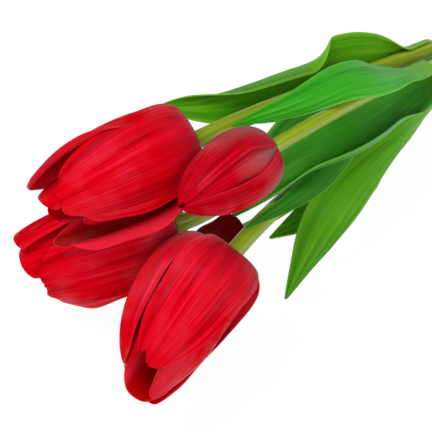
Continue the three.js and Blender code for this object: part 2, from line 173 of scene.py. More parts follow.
# the way across a sheet from its midrib to u: sideways, and towards the inner face
def walkAcross(u, halfWidth, cup, hem, hemStart):
    steps, hemEase = 20, 0.2
    reach = abs(u)
    side, lift = 0, 0
    for k in range(steps):
        s = (k + 0.5) / steps * reach
        turn = cup * s + hem * ease(hemStart, hemStart + hemEase, s)
        side += math.cos(turn) * halfWidth * reach / steps
        lift += math.sin(turn) * halfWidth * reach / steps
    return math.copysign(side, u), lift


# materials

def newMaterial(name):
    material = bpy.data.materials.new(name)
    material.use_nodes = True
    return material, material.node_tree.nodes, material.node_tree.links


def stretchedNoise(nodes, links, coords, scale, detail, roughness=0.55):
    mapping = nodes.new("ShaderNodeMapping")
    mapping.inputs["Scale"].default_value = scale
    links.new(coords, mapping.inputs["Vector"])
    noise = nodes.new("ShaderNodeTexNoise")
    noise.inputs["Scale"].default_value = 1
    noise.inputs["Detail"].default_value = detail
    noise.inputs["Roughness"].default_value = roughness
    links.new(mapping.outputs["Vector"], noise.inputs["Vector"])
    return noise.outputs["Fac"]


def ramp(nodes, links, factor, stops):
    node = nodes.new("ShaderNodeValToRGB")
    while len(node.color_ramp.elements) < len(stops):
        node.color_ramp.elements.new(0.5)
    for element, (place, colour) in zip(node.color_ramp.elements, stops):
        element.position = place
        element.color = (*colour, 1)
    links.new(factor, node.inputs["Fac"])
    return node.outputs["Color"]


def blendColours(nodes, links, factor, first, second, kind="MIX"):
    node = nodes.new("ShaderNodeMix")
    node.data_type = "RGBA"
    node.blend_type = kind
    sockets = [s for s in node.inputs if s.type == "RGBA"]
    for socket, value in zip(sockets, (first, second)):
        if isinstance(value, tuple):
            socket.default_value = (*value, 1)
        else:
            links.new(value, socket)
    factorSocket = [s for s in node.inputs if s.type == "VALUE"][0]
    if isinstance(factor, (int, float)):
        factorSocket.default_value = factor
    else:
        links.new(factor, factorSocket)
    return [s for s in node.outputs if s.type == "RGBA"][0]


def remap(nodes, links, value, start=0, end=1, low=0, high=1):
    node = nodes.new("ShaderNodeMapRange")
    node.inputs["From Min"].default_value = start
    node.inputs["From Max"].default_value = end
    node.inputs["To Min"].default_value = low
    node.inputs["To Max"].default_value = high
    links.new(value, node.inputs["Value"])
    return node.outputs["Result"]


def combine(nodes, links, operation, first, second):
    node = nodes.new("ShaderNodeMath")
    node.operation = operation
    for socket, value in zip(node.inputs, (first, second)):
        if isinstance(value, (int, float)):
            socket.default_value = value
        else:
            links.new(value, socket)
    return node.outputs["Value"]


def addBump(nodes, links, shader, height, strength, distance):
    node = nodes.new("ShaderNodeBump")
    node.inputs["Strength"].default_value = strength
    node.inputs["Distance"].default_value = distance
    links.new(height, node.inputs["Height"])
    links.new(node.outputs["Normal"], shader.inputs["Normal"])


# how far a place lies towards the margin of a sheet, or towards its midrib where start is above end
def marginShare(nodes, links, across, start, end, most):
    centred = remap(nodes, links, across, low=-1, high=1)
    outwards = combine(nodes, links, "ABSOLUTE", centred, 0)
    return remap(nodes, links, outwards, start, end, high=most)


# colours, then the scales of the grain across and along a petal,
# then the spans over which the tints come in and how strong they get
petalFinish = {
    "deep": (0.3, 0.0, 0.004),
    "full": (0.64, 0.0, 0.005),
    # light: the pale pinkish end of the random tone, which also stands in for highlights, as painted
    # highlight
    "light": (0.8, 0.006, 0.03),
    "foot": (0.46, 0.015, 0.04),
    # margin: paler red at the petal margins, painted light: a painted rim highlight on the outer face and
    # the painted lit band of a rolled margin on the inner face
    "margin": (0.86, 0.02, 0.05),
    "inside": (0.55, 0.0, 0.001),
    "insideDeep": (0.34, 0.0, 0.0),
    "glint": (1, 0.32, 0.6),
    "wax": (0.32, 0.19, 0.17),
    "plain": (1, 1, 1),
    # dulled: bud_1's outer petals multiplied a little darker, painted shade
    "budShade": (0.76, 0.95, 1),
    # maroon: bud_2's petals multiplied to a dark maroon, painted shade for the bud lying in shadow under
    # the others
    "shadowMaroon": (0.18, 0.2, 0.25),
    "fineGrain": (95, 2.2, 1),
    "broadGrain": (9, 1.1, 1),
    "patches": (70, 70, 70),
    "footSpan": {"start": 0.5, "end": 0.02, "high": 0.8},
    "outerRimLight": {"start": 0.88, "end": 1, "most": 0.4},
    "innerRolledLight": {"start": 0.5, "end": 0.8, "most": 0.8},
    "waxRib": {"start": 0.6, "end": 0.1, "most": 0.95},
    "waxFoot": {"start": 0.66, "end": 0.1},
    "glintSpan": {"start": 0.22, "end": 0.42},
    "outerGlint": 0.7,
    "innerGlint": 0.12,
    "streaked": 0.7,
}


def petalMaterial(name, inside, depth=petalFinish["plain"], waxed=False):
    material, nodes, links = newMaterial(name)
    shader = nodes["Principled BSDF"]
    coords = nodes.new("ShaderNodeTexCoord")
    uv = coords.outputs["UV"]
    split = nodes.new("ShaderNodeSeparateXYZ")
    links.new(uv, split.inputs["Vector"])
    across, along = split.outputs["X"], split.outputs["Y"]
    fine = stretchedNoise(nodes, links, uv, petalFinish["fineGrain"], detail=5, roughness=0.6)
    broad = stretchedNoise(nodes, links, uv, petalFinish["broadGrain"], detail=3)
    patches = stretchedNoise(nodes, links, coords.outputs["Object"], petalFinish["patches"], detail=2)
    if inside:
        stops = [(0.3, petalFinish["insideDeep"]), (0.7, petalFinish["inside"])]
    else:
        stops = [(0.3, petalFinish["deep"]), (0.5, petalFinish["full"]), (0.75, petalFinish["light"])]
    # the tone varies at random with the broad noise, and its light end adds painted highlights
    colour = ramp(nodes, links, broad, stops)
    streaks = ramp(nodes, links, fine, [
        (0.32, (0.72, 0.5, 0.5)), (0.5, (1, 1, 1)), (0.68, (1.12, 1.6, 1.6)),
    ])
    colour = blendColours(nodes, links, petalFinish["streaked"], colour, streaks, "MULTIPLY")
    foot = remap(nodes, links, along, **petalFinish["footSpan"])
    colour = blendColours(nodes, links, foot, colour, petalFinish["foot"])
    # painted light: the margins are tinted paler, a rim highlight outside and a lit rolled band inside
    rim = marginShare(nodes, links, across, **petalFinish["innerRolledLight" if inside else "outerRimLight"])
    colour = blendColours(nodes, links, rim, colour, petalFinish["margin"])
    if waxed:
        rib = marginShare(nodes, links, across, **petalFinish["waxRib"])
        rise = remap(nodes, links, along, **petalFinish["waxFoot"])
        wax = combine(nodes, links, "MULTIPLY", rib, rise)
        colour = blendColours(nodes, links, wax, colour, petalFinish["wax"])
    # the colour is multiplied by depth, which paints shade on the buds and is plain on the blooms
    colour = blendColours(nodes, links, 1, colour, depth, "MULTIPLY")
    links.new(colour, shader.inputs["Base Color"])
    links.new(remap(nodes, links, patches, low=0.55, high=0.35), shader.inputs["Roughness"])
    shine = combine(nodes, links, "MULTIPLY", fine, patches)
    brightest = petalFinish["innerGlint" if inside else "outerGlint"]
    glints = remap(nodes, links, shine, **petalFinish["glintSpan"], high=brightest)
    links.new(glints, shader.inputs["Specular IOR Level"])
    shader.inputs["Specular Tint"].default_value = (*petalFinish["glint"], 1)
    shader.inputs["Subsurface Weight"].default_value = 0.12
    shader.inputs["Subsurface Radius"].default_value = (1, 0.1, 0.08)
    shader.inputs["Subsurface Scale"].default_value = 0.002
    addBump(nodes, links, shader, fine, strength=0.28, distance=0.0006)
    return material


# each finish has an outer and an inner face
petalRed = [petalMaterial("petal_outside", inside=False), petalMaterial("petal_inside", inside=True)]
# bud_1: a waxed outer face, also painted a little darker as painted shade
petalWaxedShaded = [
    petalMaterial("petal_waxed_shaded_outside", inside=False, depth=petalFinish["budShade"], waxed=True),
    petalRed[1],
]
# bud_2: both faces painted dark as painted shade
petalShadowed = [
    petalMaterial("petal_shadowed_outside", inside=False, depth=petalFinish["shadowMaroon"]),
    petalMaterial("petal_shadowed_inside", inside=True, depth=petalFinish["shadowMaroon"]),
]

leafWarm = {
    "dark": (0.035, 0.22, 0.001),
    "full": (0.1, 0.42, 0.003),
    "light": (0.2, 0.56, 0.008),
    "margin": (0.22, 0.56, 0.03),
    "foot": (0.26, 0.46, 0.04),
}
leafCool = {
    "dark": (0.012, 0.2, 0.006),
    "full": (0.045, 0.45, 0.02),
    "light": (0.1, 0.58, 0.05),
    "margin": (0.16, 0.62, 0.06),
    "foot": (0.2, 0.48, 0.04),
}
# a darker copy of the greens for leaf_broad and leaf_narrow, which lie in shade: painted shade
leafShadedGreen = {
    "dark": (0.008, 0.11, 0.004),
    "full": (0.035, 0.26, 0.014),
    "light": (0.075, 0.36, 0.04),
    "margin": (0.12, 0.48, 0.04),
    "foot": (0.16, 0.4, 0.03),
}
leafFinish = {
    # tipPaintedShade: the leaves are multiplied darker towards the tip, painted shade
    "tipPaintedShade": (0.6, 0.7, 0.4),
    "veins": (70, 0.8, 1),
    "broadGrain": (5, 1.6, 1),
    "mottle": (60, 60, 60),
    "footSpan": {"start": 0.3, "end": 0.02, "high": 0.7},
    "rim": {"start": 0.84, "end": 1, "most": 0.7},
    "tipFrom": 0.4,
    "veined": 0.8,
}


def leafMaterial(name, green):
    material, nodes, links = newMaterial(name)
    shader = nodes["Principled BSDF"]
    coords = nodes.new("ShaderNodeTexCoord")
    uv = coords.outputs["UV"]
    split = nodes.new("ShaderNodeSeparateXYZ")
    links.new(uv, split.inputs["Vector"])
    across, along = split.outputs["X"], split.outputs["Y"]
    veins = stretchedNoise(nodes, links, uv, leafFinish["veins"], detail=3, roughness=0.6)
    broad = stretchedNoise(nodes, links, uv, leafFinish["broadGrain"], detail=3)
    mottle = stretchedNoise(nodes, links, coords.outputs["Object"], leafFinish["mottle"], detail=3)
    colour = ramp(nodes, links, broad, [
        (0.25, green["dark"]), (0.5, green["full"]), (0.78, green["light"]),
    ])
    lines = ramp(nodes, links, veins, [
        (0.35, (0.7, 0.78, 0.6)), (0.5, (1, 1, 1)), (0.7, (1.25, 1.12, 1.2)),
    ])
    colour = blendColours(nodes, links, leafFinish["veined"], colour, lines, "MULTIPLY")
    foot = remap(nodes, links, along, **leafFinish["footSpan"])
    colour = blendColours(nodes, links, foot, colour, green["foot"])
    # painted shade: darker from tipFrom out to the tip
    tip = remap(nodes, links, along, start=leafFinish["tipFrom"])
    colour = blendColours(nodes, links, tip, colour, leafFinish["tipPaintedShade"], "MULTIPLY")
    rim = marginShare(nodes, links, across, **leafFinish["rim"])
    colour = blendColours(nodes, links, rim, colour, green["margin"])
    links.new(colour, shader.inputs["Base Color"])
    links.new(remap(nodes, links, mottle, low=0.34, high=0.5), shader.inputs["Roughness"])
    shader.inputs["Specular IOR Level"].default_value = 0.25
    shader.inputs["Specular Tint"].default_value = (0.6, 1, 0.3, 1)
    shader.inputs["Subsurface Weight"].default_value = 0.1
    shader.inputs["Subsurface Radius"].default_value = (0.4, 1, 0.15)
    shader.inputs["Subsurface Scale"].default_value = 0.002
    addBump(nodes, links, shader, veins, strength=0.35, distance=0.0008)
    return material


leafGreens = {
    "warm": leafMaterial("leaf_green", leafWarm),
    "cool": leafMaterial("leaf_bright_green", leafCool),
    # the deep green is painted shade
    "deep": leafMaterial("leaf_shaded_green", leafShadedGreen),
}

stemFinish = {
    "dark": (0.12, 0.22, 0.004),
    "full": (0.27, 0.38, 0.008),
    "light": (0.46, 0.54, 0.05),
    "stripes": (9, 1.2, 1),
}


def stemMaterial(name):
    material, nodes, links = newMaterial(name)
    shader = nodes["Principled BSDF"]
    coords = nodes.new("ShaderNodeTexCoord")
    uv = coords.outputs["UV"]
    stripes = stretchedNoise(nodes, links, uv, stemFinish["stripes"], detail=4)
    colour = ramp(nodes, links, stripes, [
        (0.3, stemFinish["dark"]), (0.5, stemFinish["full"]), (0.75, stemFinish["light"]),
    ])
    links.new(colour, shader.inputs["Base Color"])
    shader.inputs["Roughness"].default_value = 0.3
    shader.inputs["Specular IOR Level"].default_value = 0.5
    shader.inputs["Subsurface Weight"].default_value = 0.1
    shader.inputs["Subsurface Radius"].default_value = (0.6, 1, 0.2)
    shader.inputs["Subsurface Scale"].default_value = 0.002
    addBump(nodes, links, shader, stripes, strength=0.15, distance=0.0008)
    return material


stemGreen = stemMaterial("stem_green")


def grainMaterial(name, dark, light, grainScale, roughness, metallic=0):
    material, nodes, links = newMaterial(name)
    shader = nodes["Principled BSDF"]
    coords = nodes.new("ShaderNodeTexCoord")
    grain = stretchedNoise(nodes, links, coords.outputs["Object"], grainScale, detail=5)
    links.new(ramp(nodes, links, grain, [(0.3, dark), (0.7, light)]), shader.inputs["Base Color"])
    shader.inputs["Roughness"].default_value = roughness
    shader.inputs["Metallic"].default_value = metallic
    addBump(nodes, links, shader, grain, strength=0.2, distance=0.0004)
    return material


def paintNode(name, material):
    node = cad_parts[name]
    node.data.materials.clear()
    node.data.materials.append(material)


wireSteel = grainMaterial(
    "wire_steel", dark=(0.3, 0.3, 0.31), light=(0.55, 0.56, 0.58),
    grainScale=(120, 2500, 2500), roughness=0.35, metallic=1,
)
plugPlastic = grainMaterial(
    "plug_plastic", dark=(0.26, 0.34, 0.05), light=(0.36, 0.44, 0.08),
    grainScale=(400, 400, 400), roughness=0.5,
)
bandPaper = grainMaterial(
    "band_paper", dark=(0.42, 0.3, 0.16), light=(0.56, 0.42, 0.25),
    grainScale=(300, 900, 900), roughness=0.75,
)
print("materials made")


# flower heads: sizes in mm, places in head pitches and bearings in degrees
# "slot" is the place of a head's stem in the bundle, "neck" how long the stem follows the head's axis
# a petal's midrib: "reach" is its share of the length, "tuck" draws the belly in, "flare" sets the tip
# outwards, "hold" fills the part between them and "fade" tells how late the petal narrows
# a petal's halves: they go "turn" radians round the head, "root" at the foot, "base" just above it, and
# keep the share "tip" at the end, whose corner "crown" lowers and in which "lobes" are notches
# their margin goes over or under the next petal by "lap", stands off by "flap" and is rolled by "hem"
bloomForm = {
    "length": 52, "belly": 15.2, "mouth": 11.5, "shoulder": 1.32, "dimple": 12,
    "outerTurn": 1.1, "innerTurn": 0.96, "rootTurn": 0.9, "tip": 0.6, "fade": 1.8,
    "innerReach": 0.94, "whorlGap": 3.2, "lap": 1.1,
    "seatRadius": 3.3, "stemRadius": 2.8,
}
budForm = {
    "length": 34, "belly": 11.4, "mouth": 1.2, "shoulder": 1.12, "dimple": 5,
    "outerTurn": 1, "innerTurn": 0.9, "rootTurn": 1, "tip": 0.8, "fade": 2,
    "innerReach": 0.84, "whorlGap": 2, "lap": 0.6,
    "seatRadius": 2.9, "stemRadius": 2.2,
}
heads = {
    "bloom_1": {
        "form": bloomForm, "size": 0.95, "finish": petalRed,
        "along": -0.17, "across": 0.192, "up": 1.918, "yaw": 2, "pitch": -2,
        "neck": 45, "slot": (0.5, 1),
        "outer": [
            {
                "angle": 66, "reach": 0.92, "fade": 1.3,
                "left": {"base": 1.12, "turn": 1.34, "tip": 0.58, "lap": -1},
                "right": {"turn": 1.32, "tip": 0.58, "lap": 1.15},
                "lobes": [(-0.75, 0.05), (0, 0.03), (0.55, 0.04)],
            },
            {
                "angle": 151, "reach": 1.02, "flare": -1.2, "hold": 1.36, "fade": 2.4,
                "hemFrom": 0.5, "hemSpan": (0.45, 1.3),
                "left": {
                    "root": 0.58, "base": 0.6, "turn": 0.7, "tip": 1.35,
                    "crown": 0.03, "lap": -1.5, "hem": -1.25,
                },
                "right": {"tip": 0.9, "lap": -1},
                "lobes": [(0, 0.06), (0.3, 0.03)],
            },
            {
                "angle": 306, "tuck": 1.2, "flare": -1, "hemFrom": 0.6,
                "left": {"lap": 1},
                "right": {"turn": 0.88, "tip": 1.1, "lap": 1.3, "hem": -1.9},
            },
        ],
        "inner": [
            {"angle": 112, "reach": 1.05, "tuck": 2.2, "flare": -1.6, "left": {"tip": 1, "crown": 0.06}},
            {"angle": 242},
            {"angle": 2, "reach": 0.86},
        ],
    },
    "bloom_2": {
        "form": bloomForm, "size": 0.98, "finish": petalRed,
        "along": -0.41, "across": 0.037, "up": 0.931, "yaw": 24, "pitch": -16,
        "neck": 20, "slot": (1, 0),
        "outer": [
            {
                "angle": 16, "reach": 0.88, "flare": 3, "flapAt": 0.82,
                "left": {"base": 1, "turn": 0.78, "tip": 0.86, "lap": 1, "flap": 3},
                "right": {"turn": 1.1, "tip": 0.86, "lap": -1},
                "lobes": [(0.1, 0.03), (-0.5, 0.04)],
            },
            {
                "angle": 142, "reach": 1.02, "flare": -1, "fade": 2.4,
                "left": {"turn": 0.8, "tip": 1.35, "crown": 0.08, "lap": 1},
                "right": {"base": 0.86, "turn": 0.95, "tip": 0.8, "lap": -1},
            },
            {"angle": 254, "left": {"lap": 1}, "right": {"lap": 1}},
        ],
        "inner": [
            {"angle": 80, "reach": 1.06, "left": {"tip": 1, "crown": 0.06}},
            {"angle": 200},
            {"angle": 318},
        ],
    },
    "bloom_3": {
        "form": bloomForm, "size": 0.98, "finish": petalRed,
        "along": -0.303, "across": -0.71, "up": 1.234, "yaw": -22, "pitch": -10,
        "neck": 30, "slot": (-1, 0),
        "outer": [
            {
                "angle": 76, "reach": 0.84,
                "left": {"base": 1.1, "turn": 0.88, "tip": 0.45, "crown": 0.06, "lap": 0.4},
                "right": {"root": 0.76, "turn": 0.8, "tip": 0.66, "crown": 0.1, "lap": 1.4},
                "lobes": [(0.4, 0.06)],
            },
            {
                "angle": 150, "reach": 0.88, "tuck": -2.6, "flare": -5, "hold": 1.45, "fade": 3,
                "left": {"root": 0.4, "base": 0.62, "turn": 0.42, "tip": 1.1, "crown": 0.06, "lap": -3.4},
                "right": {"turn": 1.4, "tip": 0.75, "crown": 0.3, "lap": -1},
            },
            {
                "angle": 300, "reach": 0.95, "tuck": 2.6, "flare": -1.5, "fade": 0.9,
                "hemSpan": (0.1, 0.58),
                "left": {"tip": 0.9, "lap": 1},
                "right": {"base": 1.2, "turn": 0.66, "tip": 0.6, "lap": 0, "hem": -0.8},
            },
        ],
        "inner": [
            {
                "angle": 152, "reach": 0.96, "flare": -3, "hold": 1.3,
                "left": {"tip": 0.9, "crown": 0.2},
                "right": {"tip": 0.9, "crown": 0.2},
            },
            {
                "angle": 268, "reach": 1.04,
                "left": {"tip": 0.9, "crown": 0.1},
                "right": {"tip": 0.9, "crown": 0.1},
            },
            {"angle": 27, "reach": 1.02, "left": {"turn": 0.78}, "right": {"turn": 1.05, "tip": 0.45}},
        ],
    },
    "bud_1": {
        "form": budForm, "size": 1, "finish": petalWaxedShaded,
        "along": 0.281, "across": -0.464, "up": 2.283, "yaw": -8, "pitch": 5.5,
        "neck": 45, "slot": (-0.5, 1),
        "outer": [
            {
                "angle": 126, "flare": -0.7, "hold": 1.3,
                "left": {"root": 1.1, "base": 1.14, "turn": 0.86, "tip": 1.3, "crown": 0.04, "lap": -0.5},
                "right": {"tip": 1, "crown": 0.06, "lap": 1},
            },
            {
                "angle": 234, "flare": -0.5,
                "left": {"root": 0.86, "turn": 0.88},
                "right": {"root": 0.86, "turn": 0.88, "lap": -1},
            },
            {
                "angle": 342, "flare": -0.7, "hold": 1.24,
                "left": {"lap": 1},
                "right": {"root": 1.22, "base": 1.3, "turn": 0.96, "tip": 1.2, "crown": 0.04, "lap": -0.5},
            },
        ],
        "inner": [
            {
                "angle": 57, "reach": 1.14, "tuck": -0.3, "hold": 1.26, "seat": "outer",
                "left": {"turn": 0.62, "tip": 1.05, "crown": 0.05},
                "right": {"turn": 0.62, "tip": 1.05, "crown": 0.05},
            },
            {"angle": 177},
            {"angle": 297},
        ],
    },
    "bud_2": {
        "form": budForm, "size": 0.66, "finish": petalShadowed,
        "along": 0.306, "across": -0.023, "up": 0.256, "yaw": 3, "pitch": 0,
        "neck": 45, "slot": (0, 0),
        "outer": [{"angle": 90}, {"angle": 210}, {"angle": 330}],
        "inner": [{"angle": 150}, {"angle": 270}, {"angle": 30}],
    },
}
petalMake = {
    "thickness": 0.55, "gap": 0.3, "across": 22, "along": 34,
    "leastMouth": 1.2, "hold": 1.12, "holdAt": 0.7, "widest": 0.42,
    "rootSpan": (0, 0.15), "baseSpan": (0.2, 0.5),
    "crown": 0.14, "crownBend": 2.8, "crownRise": 4, "lobeWidth": 0.2,
    "lapBend": 0.7, "flapAt": 0.4, "flapWidth": 0.13, "ripple": 0.45, "ripples": 17,
    "hemFrom": 0.56, "hemSpan": (0.35, 1.3), "hemIn": 0.25, "hemOut": 0.2,
}
plug = {"neckRadius": 2.3, "step": 4.25, "lowSeat": 1.4, "highSeat": 0.8}


def placeHead(head):
    yaw, pitch = math.radians(head["yaw"]), math.radians(head["pitch"])
    head["axis"] = Vector((-math.cos(yaw), math.sin(yaw), math.tan(pitch))).normalized()
    head["base"] = Vector((head["along"], head["across"], head["up"])) * layout["headPitch"]
    head["right"] = Vector((0, 0, 1)).cross(head["axis"]).normalized()
    head["above"] = head["axis"].cross(head["right"])


def onHead(head, x, y, z):
    return head["base"] + head["right"] * x + head["above"] * y + head["axis"] * z


def petalPlace(head, isOuter, petal):
    form, size = head["form"], head["size"]
    inset = 0 if isOuter else form["whorlGap"]
    belly = form["belly"] * size - inset - petal.get("tuck", 0)
    tip = form["length"] * size * petal.get("reach", 1) * (1 if isOuter else form["innerReach"])
    mouth = max(form["mouth"] * size - inset, petalMake["leastMouth"]) + petal.get("flare", 0)
    isLow = isOuter or petal.get("seat") == "outer"
    root = (form["seatRadius"] if isLow else plug["neckRadius"]) + petalMake["thickness"] / 2
    rootHeight = plug["lowSeat"] if isLow else plug["step"] + plug["highSeat"]
    corners = [
        Vector((root, rootHeight)),
        Vector((belly * form["shoulder"], rootHeight - form["dimple"])),
        Vector((belly * petal.get("hold", petalMake["hold"]), tip * petalMake["holdAt"])),
        Vector((mouth, tip)),
    ]
    usual = {
        "root": form["rootTurn"],
        "turn": form["outerTurn" if isOuter else "innerTurn"],
        "tip": form["tip"],
        "crown": petalMake["crown"],
        "flap": 0,
        "hem": 0,
    }
    leftHalf = {**usual, "lap": -1 if isOuter else 0, **petal.get("left", {})}
    rightHalf = {**usual, "lap": 1 if isOuter else 0, **petal.get("right", {})}
    fade = petal.get("fade", form["fade"])
    flapAt = petal.get("flapAt", petalMake["flapAt"])
    hemStart, hemEnd = petal.get("hemSpan", petalMake["hemSpan"])
    hemFrom = petal.get("hemFrom", petalMake["hemFrom"])
    facing = math.radians(petal["angle"])
    lobes = petal.get("lobes", [])
    widest = petalMake["widest"]

    def spine(t):
        a, b, c, d = corners
        k = 1 - t
        point = a * k ** 3 + b * 3 * k * k * t + c * 3 * k * t * t + d * t ** 3
        ahead = (b - a) * k * k + (c - b) * 2 * k * t + (d - c) * t * t
        return point, ahead.normalized()

    def place(u, v):
        half = leftHalf if u < 0 else rightHalf
        crown = half["crown"] * abs(u) ** petalMake["crownBend"]
        crown += sum(depth * bump(u, at, petalMake["lobeWidth"]) for at, depth in lobes)
        middle, ahead = spine(v * (1 - crown * v ** petalMake["crownRise"]))
        baseTurn = mix(half["root"], half.get("base", half["turn"]), ease(*petalMake["rootSpan"], v))
        fullTurn = mix(baseTurn, half["turn"], ease(*petalMake["baseSpan"], v))
        narrowed = (max(v - widest, 0) / (1 - widest)) ** fade
        halfTurn = fullTurn * (1 - (1 - half["tip"]) * narrowed)
        hemmed = ease(hemStart, hemStart + petalMake["hemIn"], v)
        hemmed *= 1 - ease(hemEnd - petalMake["hemOut"], hemEnd, v)
        side, lift = walkAcross(u, middle.x * halfTurn, halfTurn, half["hem"] * hemmed, hemFrom)
        lapped = max(0, math.sin(math.pi * v)) ** petalMake["lapBend"]
        lap = form["lap"] * lapped * abs(u) * half["lap"]
        lap += half["flap"] * bump(v, flapAt, petalMake["flapWidth"]) * u * u
        lap += petalMake["ripple"] * math.sin(petalMake["ripples"] * v + petal["angle"]) * u * u * lapped
        swing = halfTurn * u
        radius = middle.x - lift + lap * ahead.y * math.cos(swing)
        side += lap * ahead.y * math.sin(swing)
        x = radius * math.cos(facing) - side * math.sin(facing)
        y = radius * math.sin(facing) + side * math.cos(facing)
        return onHead(head, x, y, middle.y - lap * ahead.x)

    return place


for headName, head in heads.items():
    placeHead(head)
    for whorl in ("outer", "inner"):
        for k, petal in enumerate(head[whorl]):
            node = f"{headName}_{whorl}_petal_{k + 1}"
            place = petalPlace(head, whorl == "outer", petal)
            piece = layGrid(f"{node}_formed", petalMake["across"], petalMake["along"], place)
            finishSheet(piece, petalMake["thickness"], f"{headName}_head", node, head["finish"])
    print("head formed:", headName)


# stems: a straight bundle at the band, then one sweep up to each head
stemMake = {
    "around": 24, "along": 110, "handle": 60, "bore": 1.4,
    "squareFrom": 0.99, "weld": 0.02, "creaseAngle": 40,
}


def stemCourse(head):
    across, row = head["slot"]
    lowest = layout["bandThick"] + petalMake["gap"] + bloomForm["stemRadius"]
    rowHeight = layout["stemPitch"] * math.sin(math.pi / 3)
    place = Vector((0, layout["bandY"] + across * layout["stemPitch"], lowest + row * rowHeight))
    start = layout["bandX"] - layout["bandWidth"]
    a = place + Vector((start, 0, 0))
    b = place + Vector((start - stemMake["handle"], 0, 0))
    c = head["base"] - head["axis"] * head["neck"]
    d = head["base"]
    tailSteps, sweepSteps = 20, 120
    points = []
    for k in range(tailSteps):
        points.append(place + Vector((mix(layout["tailX"], start, k / tailSteps), 0, 0)))
    for k in range(sweepSteps + 1):
        t = k / sweepSteps
        s = 1 - t
        points.append(a * s ** 3 + b * 3 * s * s * t + c * 3 * s * t * t + d * t ** 3)
    return Course(points)


def stemAt(head, x):
    points = head["course"].points
    if x <= points[-1].x:
        return points[-1].copy()
    for p, q in zip(points, points[1:]):
        if q.x <= x:
            return p.lerp(q, (x - p.x) / (q.x - p.x))
    return points[-1].copy()


def stemPlace(head):
    course = head["course"]
    radius = head["form"]["stemRadius"]

    def place(u, v):
        ahead = course.ahead(v) if v < stemMake["squareFrom"] else head["axis"]
        side = ahead.cross(Vector((0, 0, 1))).normalized()
        above = side.cross(ahead)
        angle = -math.pi * (u + 1)
        return course.at(v) + side * (radius * math.cos(angle)) + above * (radius * math.sin(angle))

    return place


for headName, head in heads.items():
    head["course"] = stemCourse(head)
    piece = layGrid(f"{headName}_stem_smooth", stemMake["around"], stemMake["along"], stemPlace(head))
    piece.data.materials.append(stemGreen)
    bpy.ops.object.mode_set(mode="EDIT")
    bpy.ops.mesh.select_all(action="SELECT")
    bpy.ops.mesh.remove_doubles(threshold=stemMake["weld"] * mm)
    bpy.ops.object.mode_set(mode="OBJECT")
    wall = (head["form"]["stemRadius"] - stemMake["bore"]) * mm
    applyModifier(piece, "SOLIDIFY", thickness=wall, offset=-1)
    bpy.ops.object.shade_smooth_by_angle(angle=math.radians(stemMake["creaseAngle"]))
    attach(piece, "stems")
    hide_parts(f"{headName}_stem")
    paintNode(f"{headName}_stem_wire", wireSteel)
    paintNode(f"{headName}_receptacle", plugPlastic)
print("stems swept")


# leaves: a foot wrapped round its stem opens into a long blade
# "clasp" is the x at which the foot starts and "side" the bearing of its midrib round the stem, in degrees
# "blade" holds the midrib's points, each an x with the ways across and up from the stem there
# "facing" is how far the blade is turned at its middle and at its tip, in degrees
leafMake = {
    "thickness": 0.6, "solid": 0.9, "gap": 0.3, "across": 22, "along": 60,
    "foot": 10, "wrap": 1.9, "narrowing": 0.06, "opening": 0.15, "turning": 0.35, "tipTurnFrom": 0.5,
    "waist": 0.6, "swell": 0.5, "taperFrom": 0.4, "tipWidth": 0.03, "widening": (0.42, 0.68),
    "hemStart": 0.45, "hemSpan": (0.3, 0.5), "hemFade": (0.75, 1),
}
leaves = {
    "leaf_upper": {
        "stem": "bloom_1", "clasp": 100, "side": -31, "facing": (-50, -35),
        "half": 12.4, "waist": 0.6, "swell": 0.36, "point": 2.3, "cup": 0.5,
        "hemRight": 1.6, "hemStart": 0.3, "hemSpan": (0.4, 0.54),
        "blade": [
            (76, 5.2, -2.2), (63, 6.6, -2.7), (43, 8.6, -4.1), (24, 10.2, -5), (9, 14.2, -6.7),
            (-3, 23.4, -10.2),
        ],
    },
    "leaf_front": {
        "stem": "bud_1", "clasp": 88, "side": 85, "facing": (165, 150),
        "half": 7.5, "point": 1.8, "cup": 0.45, "green": "cool",
        "blade": [(66, 0.2, 6), (57, 0.6, 8.6), (44, 3.5, 8.1), (25, 7, 3.3), (5.5, 15, -3.5)],
    },
    "leaf_broad": {
        "stem": "bud_1", "clasp": 116, "side": 265, "facing": (-24, -28),
        "half": 12, "waist": 0.5, "swell": 0.6, "point": 2.0, "cup": 0.5, "green": "deep",
        "hemLeft": 1.4, "wideLeft": 1.3, "wideRight": 2.0,
        "blade": [
            (88, -0.8, -6.4), (63, -1.6, -11.4), (43, -0.6, -15.5), (25.5, 4.3, -23.3), (12, 6.6, -31),
            (0.5, 5.6, -36.6),
        ],
    },
    "leaf_narrow": {
        "stem": "bloom_3", "clasp": 76, "side": 90, "facing": (162, 150),
        "half": 5.6, "point": 1.6, "cup": 0.5, "green": "deep",
        "blade": [(56, 0.3, 5.6), (46, -1.2, 8), (30, -4.6, 6.2), (16, -4, 5.7), (-1, 0.9, 4)],
    },
    "leaf_drooping": {
        "stem": "bloom_3", "clasp": 107, "side": 190, "facing": (145, 130),
        "half": 11.5, "waist": 0.36, "waistEnd": 0.35, "swell": 0.75, "point": 2.2, "cup": 0.4,
        "blade": [
            (84, -5.8, 0), (62, -8.6, 0.6), (40, -11.2, -1.2), (27.4, -12, -10.4), (19.2, -11.2, -25),
            (10.1, -11.2, -37.8),
        ],
    },
    "leaf_lower": {
        "stem": "bud_2", "clasp": 84, "side": 270, "facing": (0, 0),
        "half": 10, "point": 1.8, "cup": 0.45,
        "blade": [(60, -3.6, -3.4), (48, -6, -4.4), (32, -5.5, -5), (18, -4, -6)],
    },
}


